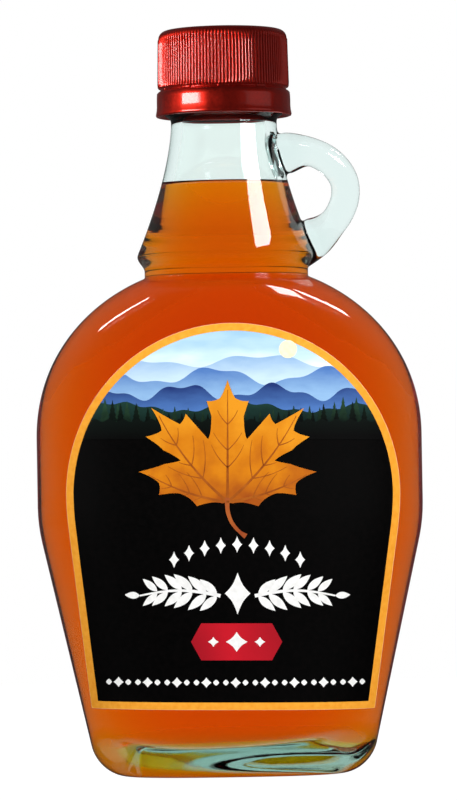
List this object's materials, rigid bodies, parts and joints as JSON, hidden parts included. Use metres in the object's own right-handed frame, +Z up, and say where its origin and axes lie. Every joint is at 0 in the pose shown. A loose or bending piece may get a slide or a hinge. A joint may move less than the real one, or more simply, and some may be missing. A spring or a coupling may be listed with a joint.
{
  "type": "maple syrup bottle",
  "caption": "Flattened glass flask of amber maple syrup with a loop handle at the neck, a knurled red roll-on cap and an arched black paper label.",
  "frame": {"origin": "middle of the base, on the surface that the bottle stands on", "axes": "+Z up along the bottle's axis, the label faces -Y, the loop handle points to +X"},
  "size_m": [0.0828, 0.048, 0.16],
  "materials": {
    "clear_glass": "gloss",
    "maple_syrup": "gloss",
    "lacquered_aluminium": "satin",
    "printed_paper": "satin"
  },
  "bodies": {
    "root": {"glass": "clear_glass", "syrup": "maple_syrup", "cap": "lacquered_aluminium", "label": "printed_paper"}
  },
  "joints": []
}
